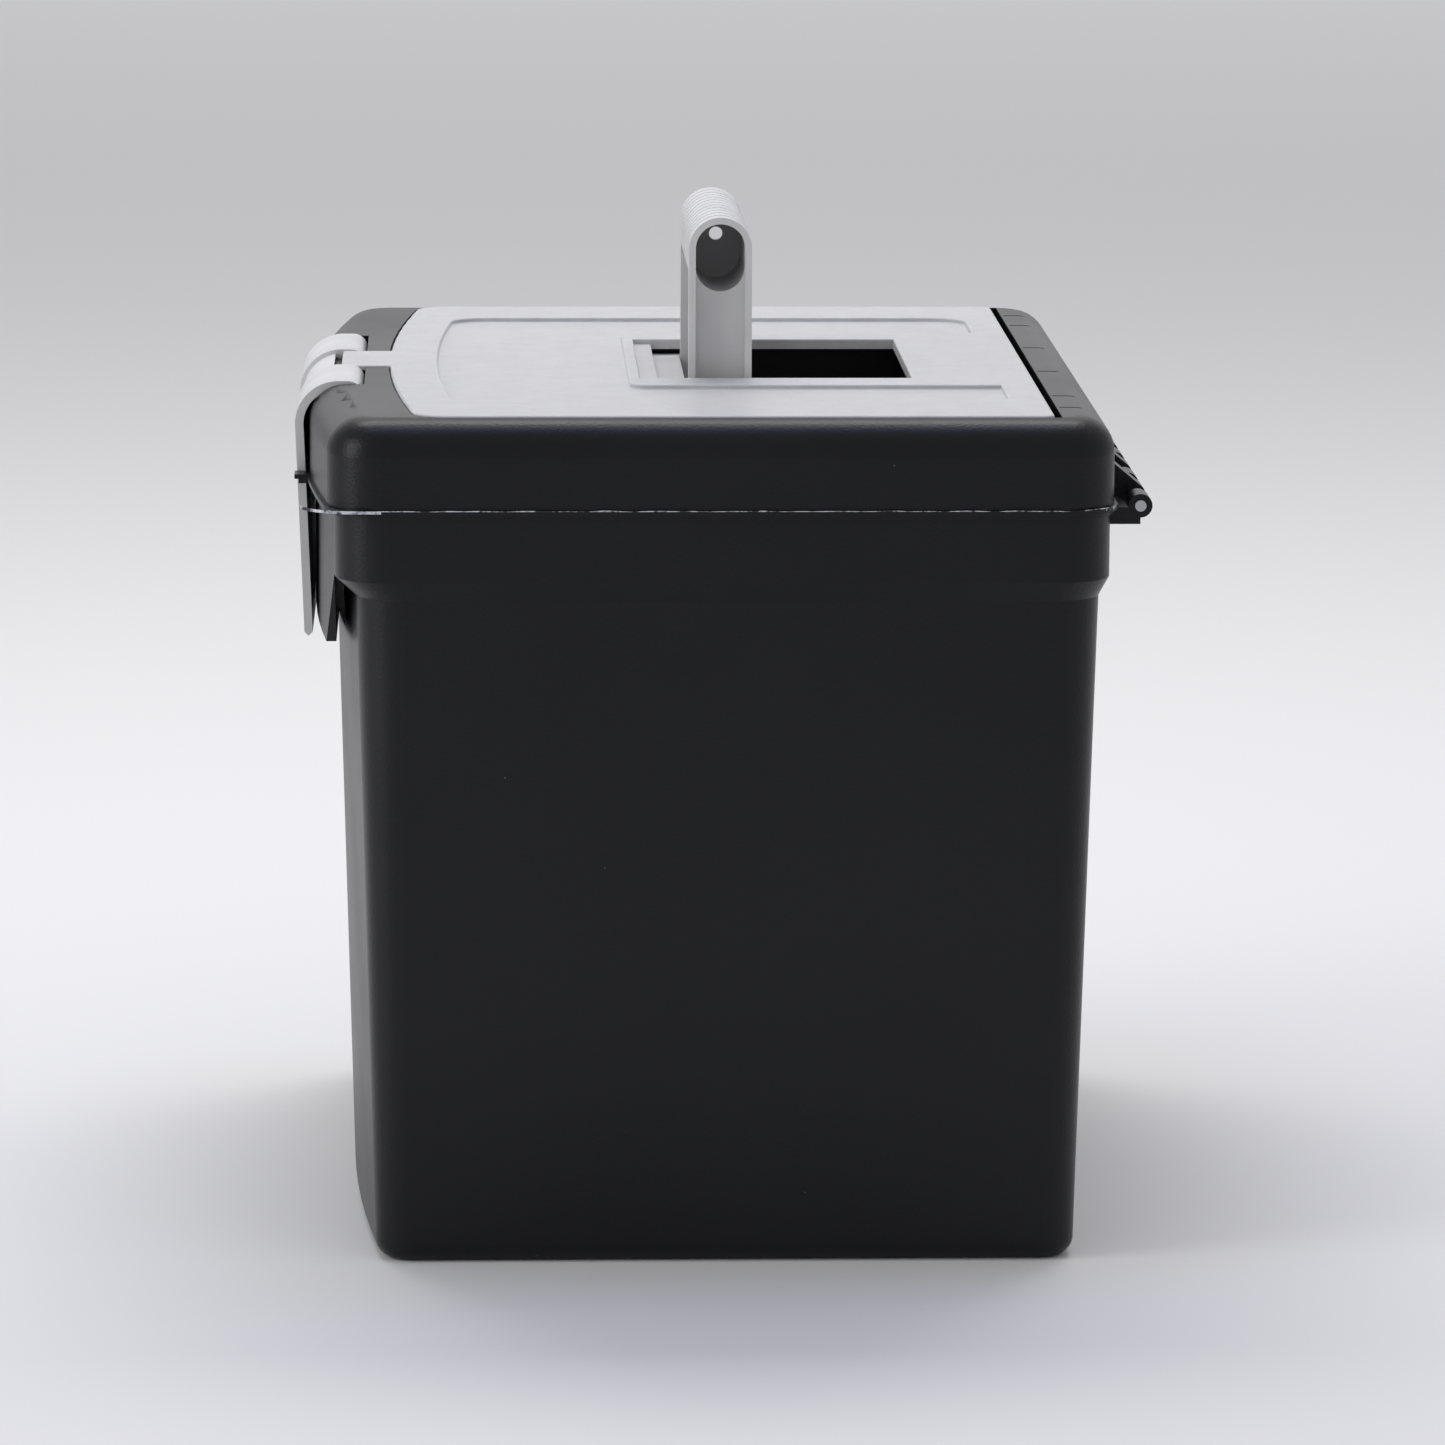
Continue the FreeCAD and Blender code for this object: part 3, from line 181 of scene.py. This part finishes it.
def drawn_steel():
    """Zinc-plated drawn wire: bright with fine lines along its length."""
    material, surface = new_material("drawn_steel", Metallic=1.0, Roughness=0.3)
    surface.inputs["Base Color"].default_value = linear("#b9bbc0")
    place = add_node(material, "ShaderNodeNewGeometry").outputs["Position"]
    stretch = add_node(material, "ShaderNodeMapping", {"Scale": (1.0, 0.03, 1.0)}, {"Vector": place})
    lines = add_node(material, "ShaderNodeTexNoise", {"Scale": 1 / (0.3 * MM), "Detail": 2.0},
                     {"Vector": stretch.outputs["Vector"]})
    rough = add_node(material, "ShaderNodeMapRange", {"To Min": 0.2, "To Max": 0.42},
                     {"Value": lines.outputs["Fac"]})
    material.node_tree.links.new(rough.outputs["Result"], surface.inputs["Roughness"])
    return material


black = black_polypropylene()
frosted = frosted_polypropylene()
grey = grey_polypropylene()
flash_painted_glint = flash_with_painted_glint()
steel = drawn_steel()

NODE_MATERIALS = {
    "bin": black, "lid": black, "file_rail_near": black, "file_rail_far": black,
    "cover": frosted, "handle": grey, "handle_keeper": grey, "latch": grey,
    "latch_pin": steel, "hinge_pin_near": steel, "hinge_pin_far": steel,
}
for name, material in NODE_MATERIALS.items():
    node = frame["nodes"][name]
    node.data.materials.clear()
    node.data.materials.append(material)


# ---------------------------------------------------------------- moulding flash on the lid's lip, coloured as a painted highlight
LID_BACK = 139.4 * MM       # the lip's back face
LIP_CORNER = 21.4 * MM
LIP_RISE = 1.6 * MM         # the lip's height above the joint
HINGE_DROP = 1.0 * MM       # the joint's height above the hinge axis
FLASH_WIDTH = 0.5 * MM
FLASH_RISE = 0.45 * MM
FLASH_INSET = 0.05 * MM     # how far the fin stays inside the lid's side
FLASH_START = 2.0 * MM      # how far behind the front corner the straight run starts
FLASH_TURN = math.radians(70)    # how far the fin follows each corner round
TEAR_LENGTH = 9 * MM
RAGGED = 0.06 * MM
CORNER_STEPS = 14
STRAIGHT_STEPS = 90


def build_flash(side):
    """A thin fin of varying height along the top edge of the lid's lip, on one side and round its
    corners; its material paints a broken highlight along it.
    """
    low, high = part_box("lid")
    hinge = next(joint for joint in frame["joints"] if joint["name"] == "lid_hinge")
    lip_foot = hinge["pos_m"][2] + HINGE_DROP
    edge = high[1] - FLASH_INSET
    left = low[0] + LIP_CORNER + FLASH_START
    right = LID_BACK - LIP_CORNER
    length = right - left
    top = lip_foot + LIP_RISE
    bottom = lip_foot + LIP_RISE / 2
    draw = random.Random(7 + side)
    turns = [FLASH_TURN * step / CORNER_STEPS for step in range(CORNER_STEPS + 1)]
    path = []
    for turn in reversed(turns):
        path.append((left - math.sin(turn) * LIP_CORNER, edge - (1 - math.cos(turn)) * LIP_CORNER))
    for step in range(1, STRAIGHT_STEPS):
        path.append((left + length * step / STRAIGHT_STEPS, edge))
    for turn in turns:
        path.append((right + math.sin(turn) * LIP_CORNER, edge - (1 - math.cos(turn)) * LIP_CORNER))
    mesh = bmesh.new()
    rings = []
    for x, y in path:
        torn = noise.noise(Vector((x / TEAR_LENGTH, side * 5.0, 0.0)))
        rise = FLASH_RISE * max(0.1, 0.55 + 1.1 * torn) + draw.uniform(0, RAGGED)
        inner = y - FLASH_WIDTH
        ring = [(x, side * y, bottom), (x, side * y, top + rise), (x, side * inner, top + rise * 0.7),
                (x, side * inner, bottom)]
        rings.append([mesh.verts.new(corner) for corner in ring])
    for this, following in zip(rings, rings[1:]):
        for n in range(4):
            mesh.faces.new((this[n], this[(n + 1) % 4], following[(n + 1) % 4], following[n]))
    mesh.faces.new(rings[0])
    mesh.faces.new(tuple(reversed(rings[-1])))
    bmesh.ops.recalc_face_normals(mesh, faces=mesh.faces)
    label = "lip_flash_glint_near" if side < 0 else "lip_flash_glint_far"
    data = bpy.data.meshes.new(label)
    mesh.to_mesh(data)
    mesh.free()
    piece = bpy.data.objects.new(label, data)
    bpy.context.scene.collection.objects.link(piece)
    # the material paints a pale highlight along the fin
    data.materials.append(flash_painted_glint)
    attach(piece, "lid")


for side in (-1, 1):
    build_flash(side)


# ---------------------------------------------------------------- stage, light and camera
FLOOR_REACH = 40.0


def build_stage():
    """A wide pale floor under the box."""
    mesh = bpy.data.meshes.new("floor")
    corners = [(along * FLOOR_REACH, across * FLOOR_REACH, 0)
               for along, across in ((-1, -1), (1, -1), (1, 1), (-1, 1))]
    mesh.from_pydata(corners, [], [(0, 1, 2, 3)])
    floor = bpy.data.objects.new("floor", mesh)
    bpy.context.scene.collection.objects.link(floor)
    material, surface = new_material("pale_floor", Roughness=0.9)
    surface.inputs["Base Color"].default_value = linear("#f0f0f0")
    surface.inputs["Specular IOR Level"].default_value = 0.1
    mesh.materials.append(material)


def add_light(name, place, aim, width, height, power, colour):
    """A soft rectangular light at a place, turned to shine at a point."""
    data = bpy.data.lights.new(name, "AREA")
    data.shape = "RECTANGLE"
    data.size = width
    data.size_y = height
    data.energy = power
    data.color = linear(colour)[:3]
    light = bpy.data.objects.new(name, data)
    light.location = place
    light.visible_camera = False
    direction = Vector(aim) - Vector(place)
    light.rotation_euler = direction.to_track_quat("-Z", "Y").to_euler()
    bpy.context.scene.collection.objects.link(light)


def build_light():
    """A pale room, softboxes overhead, at the left and as a wall behind, and a narrow cool strip that
    draws the highlight along the lid's round edge."""
    world = bpy.data.worlds.new("studio")
    world.use_nodes = True
    sky = world.node_tree.nodes["Background"]
    sky.inputs["Color"].default_value = linear("#fafaff")
    sky.inputs["Strength"].default_value = 0.5
    bpy.context.scene.world = world
    add_light("overhead_softbox", (0.0, 0.85, 2.0), (0, 0.05, 0.28), 1.8, 0.7, 20, "#fffdf8")
    add_light("cool_strip", (-0.05, 0.05, 2.1), (0, -0.1, 0.29), 1.5, 0.14, 4, "#a8b6ff")
    add_light("wall_behind", (0.0, 7.0, 2.9), (0, 0, 0.4), 9.3, 4.9, 62, "#ffffff")
    add_light("left_panel", (-2.2, -0.9, 0.9), (-0.14, 0, 0.25), 1.0, 1.6, 16, "#ffffff")


CAMERA_PLACE = (-0.0925, -2.70, 0.6453)
CAMERA_LENS = 183.1
CAMERA_PITCH = 10.05        # degrees down from level
CAMERA_YAW = -2.10
CAMERA_ROLL = 0.27


def build_camera():
    """The camera stands in front of one side, a little above the lid, with a long lens."""
    data = bpy.data.cameras.new("camera")
    data.sensor_width = 36.0
    data.lens = CAMERA_LENS
    data.clip_end = 100.0
    camera = bpy.data.objects.new("camera", data)
    camera.location = CAMERA_PLACE
    aim = Euler((math.radians(90 - CAMERA_PITCH), 0.0, math.radians(CAMERA_YAW)), "XYZ").to_matrix()
    roll = Matrix.Rotation(math.radians(CAMERA_ROLL), 3, "Z")
    camera.rotation_euler = (aim @ roll).to_euler()
    bpy.context.scene.collection.objects.link(camera)
    bpy.context.scene.camera = camera


build_stage()
build_light()
build_camera()
bpy.context.scene.view_settings.view_transform = "Standard"
